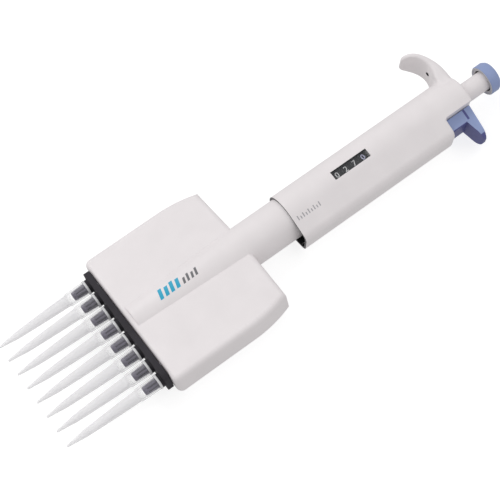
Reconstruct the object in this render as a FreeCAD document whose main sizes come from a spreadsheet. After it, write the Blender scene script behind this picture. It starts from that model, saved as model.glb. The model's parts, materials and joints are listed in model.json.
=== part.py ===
"""Eight-channel adjustable micropipette, fitted with tips, lying on its back.

Every piece is drawn about the pipette's own long axis: X runs from the tip ends (station 0)
to the plunger cap, Y points to the finger hook and Z to the side with the volume display.
Placements then move that frame so that the origin is at the middle of the underside, and roll
the handle about the long axis by the angle at which the head is swivelled in the handle.
"""
import FreeCAD, Part
import os
import re
import Sketcher

DIMENSIONS = {
    # channels and tips
    "pitch": 9.0,
    "tip_length": 49.7,
    "tip_rim_radius": 3.55,
    "tip_collar_length": 11.5,
    "tip_step_radius": 2.9,
    "tip_end_radius": 0.55,
    "tip_wall": 0.42,
    "cone_start": 41.4,
    "cone_end_radius": 2.15,
    "cone_radius": 2.72,
    "cone_neck_radius": 2.3,
    # head
    "head_start": 54.4,
    "head_end": 119.4,
    "head_half_width": 40.1,
    "head_top_half_width": 36.4,
    "head_curve_start": 97.0,
    "head_half_depth": 7.2,
    "head_wall": 1.8,
    "head_edge_round": 2.4,
    "head_corner_round": 3.0,
    "shoulder_rise": 0.9,
    "band_start": 57.1,
    "band_radius": 9.4,
    "bar_start": 51.2,
    "bar_thickness": 2.9,
    "bar_half_length": 35.7,
    "bar_half_depth": 6.9,
    "bar_collar_start": 49.85,
    "bar_collar_radius": 3.5,
    # neck, which turns in the handle
    "neck_radius": 11.1,
    "neck_bore": 8.3,
    "neck_step": 150.0,
    "neck_end": 161.0,
    "clip_radius": 11.0,
    "journal_radius": 10.1,
    "clip_groove_radius": 9.5,
    "pipe_end": 167.5,
    # pistons
    "piston_radius": 3.1,
    "piston_start": 77.0,
    "piston_end": 100.0,
    "plate_thickness": 3.2,
    "plate_half_depth": 4.9,
    "block_start": 59.3,
    "block_end": 84.0,
    "block_half_length": 36.0,
    "shaft_radius": 3.0,
    "shaft_flange": 4.4,
    "shaft_end": 168.0,
    "cavity_step": 104.5,
    "retainer_thickness": 3.2,
    "seal_radius": 4.1,
    # handle
    "handle_start": 143.9,
    "handle_end": 251.3,
    "handle_radius": 12.4,
    "handle_front": 16.5,
    "handle_taper": 19.0,
    "handle_front_half": 7.4,
    "handle_wall": 1.2,
    "handle_round": 4.5,
    "shoulder_station": 234.6,
    "notch_offset": 7.4,
    "window_start": 172.0,
    "window_length": 21.0,
    "window_offset": 0.4,
    "window_half_width": 2.3,
    "lens_lift": 10.5,
    "lens_thickness": 0.9,
    "ledge_station": 213.0,
    # hook
    "hook_half_width": 9.0,
    "hook_corner": 5.0,
    "hook_inner_x": 234.5,
    "hook_inner_y": 19.6,
    "hook_inner_radius": 12.2,
    "hook_outer_x": 227.5,
    "hook_outer_y": 13.1,
    "hook_outer_radius": 24.1,
    "hook_tip": 32.0,
    "hook_root": 240.0,
    "hook_low": 10.0,
    "hook_screw_offset": 19.1,
    # volume counter
    "ring_radius": 10.2,
    "ring_pitch": 5.15,
    "carrier_radius": 8.8,
    "carrier_bore": 7.4,
    "carrier_start": 170.0,
    "carrier_flange": 193.9,
    "carrier_end": 196.3,
    "axle_lift": 7.6,
    "axle_radius": 0.4,
    "axle_start": 170.5,
    "axle_length": 22.7,
    # plunger and knob
    "rod_radius": 2.0,
    "sleeve_radius": 5.0,
    "rod_start": 169.6,
    "rod_end": 263.0,
    "sleeve_start": 227.2,
    "collar_start": 224.0,
    "screw_start": 227.6,
    "screw_end": 246.0,
    "nut_start": 228.5,
    "nut_length": 4.4,
    "nut_radius": 7.4,
    "thread_radius": 6.0,
    "guide_flange_radius": 6.5,
    "stage_station": 203.9,
    "cap_start": 265.9,
    "cap_radius": 8.0,
    "cap_height": 6.4,
    # ejector
    "eject_rod_offset": 12.0,
    "eject_rod_radius": 1.3,
    "stem_half_depth": 6.2,
    "pad_reach": 25.5,
    "pad_start": 246.6,
    "pad_thickness": 3.3,
    "stem_start": 228.0,
    "stem_top": 14.3,
    "yoke_station": 109.0,
    "yoke_thickness": 3.0,
    "yoke_half_length": 29.0,
    "guide_spacing": 27.0,
    "guide_lift": 3.6,
    "guide_radius": 1.2,
    # how the head is turned in the handle
    "swivel_angle": 15.0,
}
SPRINGS = {
    "blowout_spring": {"start": 196.4, "length": 7.3, "radius": 7.0, "wire": 1.1, "turns": 3},
    "primary_spring": {"start": 205.6, "length": 18.2, "radius": 4.4, "wire": 0.8, "turns": 7},
    "ejector_spring": {"start": 215.1, "length": 12.6, "radius": 1.95, "wire": 0.5, "turns": 9,
                       "y": -DIMENSIONS["eject_rod_offset"]},
}
CHANNELS = 8
RINGS = 4
EXPORT_FOLDER = "parts"

doc = FreeCAD.newDocument("micropipette")
vector = FreeCAD.Vector
ALONG_X = FreeCAD.Rotation(vector(0, 1, 0), 90)
HALF_TURN = FreeCAD.Rotation(vector(0, 0, 1), 180)
nodes = {}


def make_sheet():
    """Put every driving dimension in a spreadsheet, with its name as the cell's alias."""
    sheet = doc.addObject("Spreadsheet::Sheet", "dims")
    for row, (alias, number) in enumerate(DIMENSIONS.items(), start=1):
        sheet.set("A%d" % row, alias)
        sheet.set("B%d" % row, str(number))
        sheet.setAlias("B%d" % row, alias)
    doc.recompute()


def from_sheet(text):
    """Turn a formula in dimension names into an expression that reads the sheet's cells."""
    def cell(match):
        word = match.group(0)
        return "dims." + word if word in DIMENSIONS else word
    return re.sub(r"[a-z]\w*", cell, str(text))


def bind(obj, **sizes):
    """Bind properties of an object to formulas."""
    for prop, text in sizes.items():
        obj.setExpression(prop, from_sheet(text))
    return obj


def put(obj, x, y, z):
    """Bind an object's position to formulas."""
    for axis, text in zip("xyz", (x, y, z)):
        obj.setExpression("Placement.Base." + axis, from_sheet(text))
    return obj


def cylinder(name, start, length, radius, y="0", z="0"):
    """A cylinder that runs along +X from a station."""
    obj = doc.addObject("Part::Cylinder", name)
    obj.Placement = FreeCAD.Placement(vector(), ALONG_X)
    bind(obj, Radius=radius, Height=length)
    return put(obj, start, y, z)


def post(name, x, y, low, height, radius):
    """A cylinder that stands up along +Z, with its seam on the side of the tips."""
    obj = doc.addObject("Part::Cylinder", name)
    obj.Placement = FreeCAD.Placement(vector(), HALF_TURN)
    bind(obj, Radius=radius, Height=height)
    return put(obj, x, y, low)


def cone(name, start, length, first_radius, last_radius):
    """A cone along +X on the long axis."""
    obj = doc.addObject("Part::Cone", name)
    obj.Placement = FreeCAD.Placement(vector(), ALONG_X)
    bind(obj, Radius1=first_radius, Radius2=last_radius, Height=length)
    return put(obj, start, "0", "0")


def box(name, x, y, z, length, width, height):
    """A box from its lowest corner."""
    obj = doc.addObject("Part::Box", name)
    bind(obj, Length=length, Width=width, Height=height)
    return put(obj, x, y, z)


def fuse(name, *shapes):
    """One solid from several that touch or overlap."""
    obj = doc.addObject("Part::MultiFuse", name)
    obj.Shapes = list(shapes)
    return obj


def cut(name, base, *tools):
    """A solid less one or more others."""
    obj = doc.addObject("Part::Cut", name)
    obj.Base = base
    obj.Tool = tools[0] if len(tools) == 1 else fuse(name + "_tools", *tools)
    return obj


def common(name, *shapes):
    """What several solids share."""
    obj = doc.addObject("Part::MultiCommon", name)
    obj.Shapes = list(shapes)
    return obj


def gather(name, pieces):
    """Several solids as one object, each still a solid of its own."""
    obj = doc.addObject("Part::Compound", name)
    obj.Links = pieces
    return obj


def rounded(name, base, radius, chosen):
    """Round the edges of a shape that a test picks."""
    doc.recompute()
    numbers = [number for number, edge in enumerate(base.Shape.Edges, start=1) if chosen(edge)]
    obj = doc.addObject("Part::Fillet", name)
    obj.Base = base
    obj.Edges = [(number, radius, radius) for number in numbers]
    return obj


def new_sketch(body, role):
    """A sketch on one of a body's own origin planes."""
    plane = [item for item in body.Origin.OriginFeatures if item.Role == role][0]
    sketch = body.newObject("Sketcher::SketchObject", body.Name + "_sketch")
    sketch.AttachmentSupport = (plane, [""])
    sketch.MapMode = "FlatFace"
    return sketch


def fix_point(sketch, edge, end, point):
    """Bind the coordinates of an edge's end to two formulas."""
    now = sketch.getPoint(edge, end)
    for kind, text, first, own_axis in (("DistanceX", point[0], now.x, -2),
                                        ("DistanceY", point[1], now.y, -1)):
        if text == "0":
            sketch.addConstraint(Sketcher.Constraint("PointOnObject", edge, end, own_axis))
        else:
            bound = Sketcher.Constraint(kind, -1, 1, edge, end, first or 1.0)
            number = sketch.addConstraint(bound)
            sketch.setExpression("Constraints[%d]" % number, from_sheet(text))


def outline(sketch, points):
    """A closed outline of straight sides through bound points."""
    count = len(points)
    for side in range(count):
        after = (side + 1) % count
        here, there = vector(side, side * side, 0), vector(after, after * after, 0)
        sketch.addGeometry(Part.LineSegment(here, there))
    for side in range(count):
        sketch.addConstraint(Sketcher.Constraint("Coincident", side, 2, (side + 1) % count, 1))
    for side, point in enumerate(points):
        fix_point(sketch, side, 1, point)


def revolved(name, points):
    """A body turned about the long axis from an outline of (station, radius) formulas."""
    body = doc.addObject("PartDesign::Body", name)
    sketch = new_sketch(body, "XY_Plane")
    outline(sketch, points)
    turn = body.newObject("PartDesign::Revolution", name + "_turned")
    turn.Profile = sketch
    turn.ReferenceAxis = (sketch, ["H_Axis"])
    turn.Angle = 360
    return body


def padded(name, role, points, length, both_sides=False):
    """A body padded from an outline on one of its origin planes."""
    body = doc.addObject("PartDesign::Body", name)
    sketch = new_sketch(body, role)
    outline(sketch, points)
    pad = body.newObject("PartDesign::Pad", name + "_pad")
    pad.Profile = sketch
    pad.Midplane = both_sides
    bind(pad, Length=length)
    return body


def rounded_body(body, radius, chosen):
    """Add a fillet to a body on the edges that a test picks."""
    doc.recompute()
    tip = body.Tip
    edges = enumerate(tip.Shape.Edges, start=1)
    names = ["Edge%d" % number for number, edge in edges if chosen(edge)]
    fillet = body.newObject("PartDesign::Fillet", body.Name + "_round_%d" % len(body.Group))
    fillet.Base = (tip, names)
    bind(fillet, Radius=radius)
    return body


def tube(name, start, length, outer, inner):
    """A plain ring or tube about the long axis, with square ends."""
    end = "%s + %s" % (start, length)
    return revolved(name, [(start, inner), (end, inner), (end, outer), (start, outer)])


def ends(edge):
    """The two end points of an edge."""
    return edge.Vertexes[0].Point, edge.Vertexes[-1].Point


def lies_at(edge, axis, position):
    """Whether all of an edge lies in the plane where one coordinate has a value."""
    box_of = edge.BoundBox
    low = (box_of.XMin, box_of.YMin, box_of.ZMin)[axis]
    high = (box_of.XMax, box_of.YMax, box_of.ZMax)[axis]
    return abs(low - position) < 0.01 and abs(high - position) < 0.01


def keep(obj, label, turned, side="0", lift="0"):
    """Register a finished piece under its node name; turned pieces roll with the handle."""
    obj.Label = label
    nodes[label] = (obj, turned, side, lift)
    return obj


def channel_offsets():
    """The places of the channels across the head."""
    middle = (CHANNELS - 1) / 2.0
    return [(number, "pitch * %.1f" % (number - 1 - middle)) for number in range(1, CHANNELS + 1)]


# ---------------------------------------------------------------- tips and cones


def make_tips():
    """Thin tapered tips, each with a wider collar that grips its cone."""
    outer = [("0", "tip_end_radius"), ("9.8", "1.75"), ("28", "2.6"),
             ("tip_length - tip_collar_length", "tip_step_radius"),
             ("tip_length - tip_collar_length + 0.5", "tip_rim_radius - 0.15"),
             ("tip_length - 1.2", "tip_rim_radius"),
             ("tip_length - 1.0", "tip_rim_radius + 0.2"),
             ("tip_length", "tip_rim_radius + 0.2")]
    inner = [("tip_length", "cone_radius + 0.2"),
             ("tip_length - tip_collar_length", "tip_step_radius - tip_wall"),
             ("28", "2.6 - tip_wall"), ("9.8", "1.75 - tip_wall"), ("0", "0.25")]
    for number, offset in channel_offsets():
        keep(revolved("tip_%d" % number, outer + inner), "tip_%d" % number, False, offset)


def make_cones():
    """Nozzles that carry the tips, each flanged inside the head and spigoted into the block."""
    outline_points = [
        ("cone_start", "cone_end_radius - 0.25"), ("cone_start + 0.3", "cone_end_radius"),
        ("bar_start - 2.0", "cone_radius"), ("bar_start - 1.7", "cone_neck_radius"),
        ("head_start + head_wall + 0.75", "cone_neck_radius"),
        ("head_start + head_wall + 0.75", "4.2"),
        ("block_start - 0.05", "4.2"), ("block_start - 0.05", "2.55"),
        ("block_start + 4.4", "2.55"), ("block_start + 4.4", "0.9"), ("cone_start", "0.9")]
    for number, offset in channel_offsets():
        name = "tip_cone_%d" % number
        keep(revolved(name, outline_points), name, False, offset)


# ---------------------------------------------------------------- head


def head_blank():
    """The outside of both head shells in one: a flat body, a tapered band and the neck."""
    slope = "shoulder_rise / (head_top_half_width - neck_radius)"
    side_end = "head_end - %s * (head_half_width - neck_radius)" % slope
    plate = padded("head_plate", "XY_Plane", [
        ("head_start", "-head_half_width"), (side_end, "-head_half_width"),
        ("head_end", "-neck_radius"), ("head_end", "neck_radius"),
        (side_end, "head_half_width"), ("head_start", "head_half_width")],
        "head_half_depth * 2", both_sides=True)
    start = DIMENSIONS["head_start"]
    rounded_body(plate, "head_corner_round",
                 lambda edge: lies_at(edge, 0, start) and edge.BoundBox.ZLength > 1)
    drop = "(head_half_width - head_top_half_width)"
    run = "(head_end - shoulder_rise - head_curve_start)"
    curve = "((%s^2 + %s^2) / (2 * %s))" % (run, drop, drop)
    corners = []
    for name, low, sign in (("left", "20", "-"), ("right", "-50", "")):
        block = box("corner_block_" + name, "head_curve_start", low, "-10", "40", "30", "20")
        centre = "%s(%s - head_half_width)" % (sign, curve)
        disc = post("corner_disc_" + name, "head_curve_start", centre, "-12", "24", curve)
        corners.append(cut("corner_" + name, block, disc))
    shaped = cut("head_shaped", plate, *corners)
    half_depth = DIMENSIONS["head_half_depth"]
    soft = rounded("head_soft", shaped, DIMENSIONS["head_edge_round"],
                   lambda edge: lies_at(edge, 2, half_depth) or lies_at(edge, 2, -half_depth))
    band = cone("head_band", "band_start", "head_end - band_start", "band_radius", "neck_radius")
    neck = cylinder("neck_outside", "head_end", "neck_step - head_end", "neck_radius")
    journal = cylinder("journal_outside", "neck_step", "neck_end - neck_step", "journal_radius")
    return fuse("head_outside", soft, band, neck, journal)


def head_hollows():
    """Everything that is cut out of both head shells."""
    inside = "head_start + head_wall + 0.7"
    depth = "head_half_depth - head_wall"
    low, height = "-(%s)" % depth, "(%s) * 2" % depth
    wide = box("cavity_wide", inside, "-(head_half_width - head_wall)", low,
               "cavity_step - (%s)" % inside, "(head_half_width - head_wall) * 2", height)
    narrow = box("cavity_narrow", "cavity_step - 1", "-(head_top_half_width - head_wall)", low,
                 "head_end - head_wall - cavity_step + 1", "(head_top_half_width - head_wall) * 2",
                 height)
    bore = cylinder("neck_hollow", "head_curve_start", "neck_end - head_curve_start + 1", "neck_bore")
    groove = tube("clip_groove", "neck_end - 2.2", "1.2", "journal_radius + 0.5", "clip_groove_radius")
    tools = [wide, narrow, bore, groove]
    for number, offset in channel_offsets():
        tools.append(cylinder("cone_hole_%d" % number, "head_start - 1", "head_wall + 4",
                              "cone_radius + 0.28", offset))
    for number, (side, lift) in enumerate(guide_places()):
        tools.append(cylinder("wall_guide_hole_%d" % number, "head_start - 1", "head_wall + 4",
                              "guide_radius + 0.2", side, lift))
    return fuse("head_hollow", *tools)


def guide_places():
    """The four places of the ejector's guide rods."""
    return [(side + "guide_spacing", lift + "guide_lift") for side in ("-", "") for lift in ("-", "")]


def screw_places():
    """The head's screws: (station, offset), two into the block and two into the shoulders."""
    return [("61.7", "18"), ("61.7", "-18"), ("112", "32"), ("112", "-32")]


def make_head_shells():
    """Front and rear halves of the head, with bosses for the upper screws."""
    blank = head_blank()
    hollow = head_hollows()
    shell = cut("head_both", blank, hollow)
    bosses = [post("boss_%d" % number, x, y, "-(head_half_depth - 1)",
                   "(head_half_depth - 1) * 2", "2.1")
              for number, (x, y) in enumerate(screw_places()[2:])]
    whole = fuse("head_bossed", shell, *bosses)
    width = "head_half_width * 2 + 4"
    top_half = box("head_top_half", "head_start - 2", "-(head_half_width + 2)", "0",
                   "neck_end - head_start + 4", width, "20")
    low_half = box("head_low_half", "head_start - 2", "-(head_half_width + 2)", "-20",
                   "neck_end - head_start + 4", width, "20")
    pilots = [post("pilot_%d" % number, x, y, "-1", "5", "0.95")
              for number, (x, y) in enumerate(screw_places()[2:])]
    front = cut("head_front", common("head_front_half", whole, top_half), *pilots)
    holes = [post("screw_hole_%d" % number, x, y, "-10", "11", "1.0")
             for number, (x, y) in enumerate(screw_places())]
    sinks = [post("screw_sink_%d" % number, x, y, "-12", "12 - head_half_depth + 1.4", "2.0")
             for number, (x, y) in enumerate(screw_places())]
    rear = cut("head_rear", common("head_rear_half", whole, low_half), *(holes + sinks))
    keep(front, "head_front_shell", False)
    keep(rear, "head_rear_shell", False)
    screws = []
    for number, (x, y) in enumerate(screw_places()):
        name = "head_screw_%d" % number
        shank = post(name + "_shank", x, y, "-head_half_depth + 1.3", "7.2", "0.9")
        head = post(name + "_head", x, y, "-head_half_depth + 0.2", "1.15", "1.85")
        slot = box(name + "_slot", x + " - 1.3", y + " - 0.25", "-head_half_depth", "2.6", "0.5", "0.7")
        screws.append(cut(name, fuse(name + "_solid", shank, head), slot))
    keep(gather("head_screw_group", screws), "head_screws", False)


def make_block():
    """The cylinder block, the plate that holds its seals, and the seals."""
    depth = "head_half_depth - head_wall - 0.1"
    solid = box("block_solid", "block_start", "-block_half_length", "-(%s)" % depth,
                "block_end - block_start", "block_half_length * 2", "(%s) * 2" % depth)
    tools = []
    for number, offset in channel_offsets():
        tools.append(cylinder("barrel_%d" % number, "block_start + 4.7", "block_end",
                              "piston_radius + 0.05", offset))
        tools.append(cylinder("socket_%d" % number, "block_start - 1", "6", "2.6", offset))
    for number, (side, lift) in enumerate(guide_places()):
        tools.append(cylinder("block_guide_%d" % number, "block_start - 1", "block_end",
                              "guide_radius + 0.2", side, lift))
    for number, (x, y) in enumerate(screw_places()[:2]):
        tools.append(post("block_pilot_%d" % number, x, y, "-8", "9.6", "0.92"))
    keep(cut("block_cut", solid, *tools), "cylinder_block", False)

    plate = box("retainer_solid", "block_end", "-block_half_length", "-(%s)" % depth,
                "retainer_thickness", "block_half_length * 2", "(%s) * 2" % depth)
    tools = []
    seals = []
    for number, offset in channel_offsets():
        tools.append(cylinder("seal_seat_%d" % number, "block_end - 1", "2.7",
                              "seal_radius + 0.05", offset))
        tools.append(cylinder("retainer_hole_%d" % number, "block_end - 1", "6",
                              "piston_radius + 0.2", offset))
        ring = cylinder("seal_outer_%d" % number, "block_end + 0.1", "1.5", "seal_radius", offset)
        hole = cylinder("seal_inner_%d" % number, "block_end - 1", "5",
                        "piston_radius + 0.03", offset)
        seals.append(cut("seal_%d" % number, ring, hole))
    for number, (side, lift) in enumerate(guide_places()):
        tools.append(cylinder("retainer_guide_%d" % number, "block_end - 1", "6",
                              "guide_radius + 0.2", side, lift))
    keep(cut("retainer_cut", plate, *tools), "seal_retainer", False)
    keep(gather("seal_group", seals), "piston_seals", False)
    clip = tube("swivel_clip_ring", "neck_end - 2.1", "1.0", "clip_radius", "clip_groove_radius + 0.05")
    gap = box("clip_gap", "neck_end - 4", "8", "-1.5", "4", "6", "3")
    keep(cut("swivel_clip_cut", clip, gap), "swivel_clip", False)


def make_pistons():
    """Eight pistons that hang from one plate, and the shaft that drives the plate."""
    rods = []
    for number, offset in channel_offsets():
        rods.append(cylinder("piston_%d" % number, "piston_start", "piston_end - piston_start",
                             "piston_radius", offset))
    keep(gather("piston_group", rods), "pistons", False)
    plate = box("plate_solid", "piston_end", "-block_half_length + 0.5", "-plate_half_depth",
                "plate_thickness", "(block_half_length - 0.5) * 2", "plate_half_depth * 2")
    slots = [cylinder("plate_slot_%d" % number, "piston_end - 1", "plate_thickness + 2",
                      "guide_radius + 0.4", side, lift)
             for number, (side, lift) in enumerate(guide_places())]
    keep(cut("plate_cut", plate, *slots), "piston_plate", False)
    plate_end = "piston_end + plate_thickness"
    shaft = revolved("piston_shaft_body", [
        (plate_end, "0"), (plate_end, "shaft_flange"),
        (plate_end + " + 1.5", "shaft_flange"), (plate_end + " + 1.5", "shaft_radius"),
        ("shaft_end - 2", "shaft_radius"), ("shaft_end - 2", "shaft_flange"),
        ("shaft_end", "shaft_flange"), ("shaft_end", "0")])
    keep(shaft, "piston_shaft", False)


def make_ejector_bar():
    """The bar whose collars push the tips off, its guide rods and the yoke that drives them."""
    body = padded("bar_body", "XY_Plane", [
        ("bar_start", "-bar_half_length"), ("bar_start + bar_thickness", "-bar_half_length"),
        ("bar_start + bar_thickness", "bar_half_length"), ("bar_start", "bar_half_length")],
        "bar_half_depth * 2", both_sides=True)
    half_length = DIMENSIONS["bar_half_length"]
    rounded_body(body, "3", lambda edge: lies_at(edge, 2, ends(edge)[0].z)
                 and (lies_at(edge, 1, half_length) or lies_at(edge, 1, -half_length)))
    collars = [cylinder("bar_collar_%d" % number, "bar_collar_start", "bar_start - bar_collar_start + 1",
                        "bar_collar_radius", offset)
               for number, offset in channel_offsets()]
    tools = [cylinder("bar_hole_%d" % number, "bar_collar_start - 1", "bar_thickness + 4",
                      "cone_radius + 0.33", offset)
             for number, offset in channel_offsets()]
    tools += [cylinder("bar_socket_%d" % number, "bar_start + 1", "bar_thickness + 2",
                       "guide_radius + 0.02", side, lift)
              for number, (side, lift) in enumerate(guide_places())]
    keep(cut("bar_cut", fuse("bar_solid", body, *collars), *tools), "ejector_bar", False)
    rods = [cylinder("guide_rod_%d" % number, "bar_start + 1", "yoke_station - bar_start - 1",
                     "guide_radius", side, lift)
            for number, (side, lift) in enumerate(guide_places())]
    keep(gather("guide_group", rods), "ejector_guide_rods", False)
    plate = box("yoke_plate", "yoke_station", "-yoke_half_length", "-plate_half_depth",
                "yoke_thickness", "yoke_half_length * 2", "plate_half_depth * 2")
    pipe = cylinder("yoke_pipe", "yoke_station + 1", "pipe_end - yoke_station - 1", "8.0")
    bore = cylinder("yoke_bore", "yoke_station - 1", "pipe_end - yoke_station + 2", "6.8")
    keep(cut("yoke_cut", fuse("yoke_solid", plate, pipe), bore), "ejector_yoke", False)


# ---------------------------------------------------------------- handle


def handle_section(name, start, length, inset):
    """A pad of the handle's section: round at the back, tapering to a blunter front."""
    body = doc.addObject("PartDesign::Body", name)
    sketch = new_sketch(body, "YZ_Plane")
    radius = "(handle_radius - %s)" % inset
    front = "-(handle_front - %s)" % inset
    half = "(handle_front_half - %s * 0.7)" % inset
    across = "-%s * sin(handle_taper * 1 deg)" % radius
    up = "%s * cos(handle_taper * 1 deg)" % radius
    size = DIMENSIONS
    back = vector(size["handle_radius"] - inset, 0, 0)
    turn = FreeCAD.Rotation(vector(0, 0, 1), 90 + size["handle_taper"])
    high = turn.multVec(back)
    low = vector(high.x, -high.y, 0)
    high_front = vector(inset - size["handle_front"], size["handle_front_half"] - inset * 0.7, 0)
    low_front = vector(high_front.x, -high_front.y, 0)
    sketch.addGeometry(Part.Arc(low, back, high))
    for here, there in ((high, high_front), (high_front, low_front), (low_front, low)):
        sketch.addGeometry(Part.LineSegment(here, there))
    for edge, after in ((0, 1), (1, 2), (2, 3), (3, 0)):
        sketch.addConstraint(Sketcher.Constraint("Coincident", edge, 2, after, 1))
    sketch.addConstraint(Sketcher.Constraint("Coincident", 0, 3, -1, 1))
    fix_point(sketch, 1, 1, (across, up))
    fix_point(sketch, 2, 1, (front, half))
    fix_point(sketch, 3, 1, (front, "-" + half))
    number = sketch.addConstraint(Sketcher.Constraint("DistanceX", -1, 1, 0, 1, low.x))
    sketch.setExpression("Constraints[%d]" % number, from_sheet(across))
    pad = body.newObject("PartDesign::Pad", name + "_pad")
    pad.Profile = sketch
    bind(pad, Length=length)
    put(body, start, "0", "0")
    return rounded_body(body, "handle_round - %s" % inset,
                        lambda edge: lies_at(edge, 1, high_front.x) and edge.BoundBox.XLength > 1)


def make_handle_shells():
    """Front and rear handle shells, with the window, the ejector's notch and the ledge."""
    size = DIMENSIONS
    body = handle_section("handle_outside", "handle_start", "handle_end - handle_start", 0)
    notch = box("handle_notch", "shoulder_station", "-40", "-20", "40", "40 - notch_offset", "40")
    outside = cut("handle_notched", body, notch)
    end = size["handle_end"]
    shoulder = size["shoulder_station"]
    outside = rounded("handle_soft", outside, 1.2,
                      lambda edge: lies_at(edge, 0, end) or lies_at(edge, 0, shoulder))
    inner = handle_section("handle_inside", "handle_start - 1", "handle_end - 3 - handle_start",
                           size["handle_wall"])
    shelf = box("handle_inner_notch", "shoulder_station - 1.6", "-40", "-20", "40",
                "40 - notch_offset + 1.0", "40")
    hollow = cut("handle_hollow", inner, shelf)
    ledge = box("spring_ledge", "ledge_station", "-(handle_front - 0.8)", "-3", "2", "5.4", "6")
    shell = cut("handle_both", outside, hollow)
    shell = fuse("handle_ledged", shell, ledge)
    stem_hole = box("stem_hole", "shoulder_station - 3", "-(stem_top + 0.4)",
                    "-(stem_half_depth + 0.3)", "4", "stem_top + 0.4 - notch_offset",
                    "(stem_half_depth + 0.3) * 2")
    rod_hole = cylinder("rod_hole", "ledge_station - 3", "8", "eject_rod_radius + 0.25",
                        "-eject_rod_offset")
    top_hole = cylinder("guide_hole", "handle_end - 6", "10", "guide_flange_radius + 0.1")
    window = box("window_hole", "window_start", "window_offset - window_half_width", "6",
                 "window_length", "window_half_width * 2", "12")
    recess = box("lens_recess", "window_start - 0.8", "window_offset - window_half_width - 0.7",
                 "6", "window_length + 1.6", "window_half_width * 2 + 1.4",
                 "lens_lift + lens_thickness - 5.95")
    root = box("hook_root_hole", "hook_root + 6.8", "6", "-4.0", "3.2", "8", "8")
    shell = cut("handle_open", shell, stem_hole, rod_hole, top_hole, window, recess, root)
    long = "handle_end - handle_start + 4"
    top_half = box("handle_top_half", "handle_start - 2", "-20", "0", long, "40", "20")
    low_half = box("handle_low_half", "handle_start - 2", "-20", "-20", long, "40", "20")
    keep(common("handle_front", shell, top_half), "handle_front_shell", True)
    keep(common("handle_rear", shell, low_half), "handle_rear_shell", True)


def make_hook():
    """The finger hook: a curved tongue that stands off the handle, with its screw."""
    blank = padded("hook_blank", "XY_Plane", [
        ("hook_root", "hook_low"), ("hook_root + 14", "hook_low"),
        ("hook_root + 14", "hook_tip"), ("hook_root", "hook_tip")],
        "hook_half_width * 2", both_sides=True)
    tip, half = DIMENSIONS["hook_tip"], DIMENSIONS["hook_half_width"]
    rounded_body(blank, "hook_corner", lambda edge: lies_at(edge, 1, tip)
                 and (lies_at(edge, 2, half) or lies_at(edge, 2, -half)))
    outer = post("hook_outer", "hook_outer_x", "hook_outer_y", "-20", "40", "hook_outer_radius")
    inner = post("hook_inner", "hook_inner_x", "hook_inner_y", "-20", "40", "hook_inner_radius")
    tongue = cut("hook_tongue", common("hook_outside", blank, outer), inner)
    outside = handle_section("hook_cutter", "handle_start", "handle_end + 4 - handle_start", -0.02)
    tongue = cut("hook_trimmed", tongue, outside)
    tenon = box("hook_tenon", "hook_root + 7", "hook_low - 0.4", "-3.8", "2.8", "7", "7.6")
    whole = fuse("hook_solid", tongue, tenon)
    hole = cylinder("hook_screw_hole", "hook_root + 3", "5.6", "1.15", "hook_screw_offset")
    pilot = cylinder("hook_pilot", "hook_root + 8", "1.9", "0.72", "hook_screw_offset")
    keep(cut("hook_cut", whole, hole, pilot), "finger_hook", True)
    screw_head = cylinder("hook_screw_head", "hook_root + 7.4", "1.1", "1.1", "hook_screw_offset")
    shank = cylinder("hook_screw_shank", "hook_root + 8", "1.7", "0.7", "hook_screw_offset")
    keep(fuse("hook_screw_solid", screw_head, shank), "hook_screw", True)


def make_counter():
    """The volume display: numbered rings on a carrier, their pinions, and the lens."""
    first = "window_start + 0.2"
    low, high = "window_start - 0.7", "window_start + window_length + 0.7"
    near, far = "window_offset - window_half_width - 0.6", "window_offset + window_half_width + 0.6"
    lens = padded("lens_body", "XY_Plane", [(low, near), (high, near), (high, far), (low, far)],
                  "lens_thickness")
    keep(lens, "window_lens", True, "0", "lens_lift")
    carrier = revolved("carrier_body", [
        ("carrier_start", "carrier_bore"), ("carrier_end", "carrier_bore"), ("carrier_end", "11.0"),
        ("carrier_flange", "11.0"), ("carrier_flange", "carrier_radius"),
        ("carrier_start", "carrier_radius")])
    slot = box("pinion_slot", "carrier_start + 1", "-2.2", "-9.4", "22", "4.4", "3.4")
    pass_hole = cylinder("rod_pass", "carrier_flange - 2", "6", "eject_rod_radius + 0.35",
                         "-eject_rod_offset")
    seat = cylinder("axle_seat", "axle_start - 0.1", "axle_length + 0.2", "axle_radius + 0.06", "0",
                    "-axle_lift")
    keep(cut("carrier_cut", carrier, slot, pass_hole, seat), "counter_carrier", True)
    for number in range(RINGS):
        start = "%s + ring_pitch * %d" % (first, number)
        ring = tube("ring_%d" % (number + 1), start, "ring_pitch - 0.25", "ring_radius",
                    "carrier_radius + 0.05")
        keep(ring, "number_ring_%d" % (number + 1), True)
    pinions = []
    for number in range(RINGS - 1):
        start = "%s + ring_pitch * %d - 1.2" % (first, number + 1)
        wheel = cylinder("pinion_%d" % (number + 1), start, "2.2", "0.95", "0", "-axle_lift")
        bore = cylinder("pinion_bore_%d" % (number + 1), start + " - 1", "5", "axle_radius + 0.05",
                        "0", "-axle_lift")
        pinions.append(cut("pinion_cut_%d" % (number + 1), wheel, bore))
    keep(gather("pinion_group", pinions), "transfer_pinions", True)
    axle_end = "axle_start + axle_length"
    axle = revolved("axle_body", [("axle_start", "0"), (axle_end, "0"), (axle_end, "axle_radius"),
                                  ("axle_start", "axle_radius")])
    keep(axle, "pinion_axle", True, "0", "-axle_lift")


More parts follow.
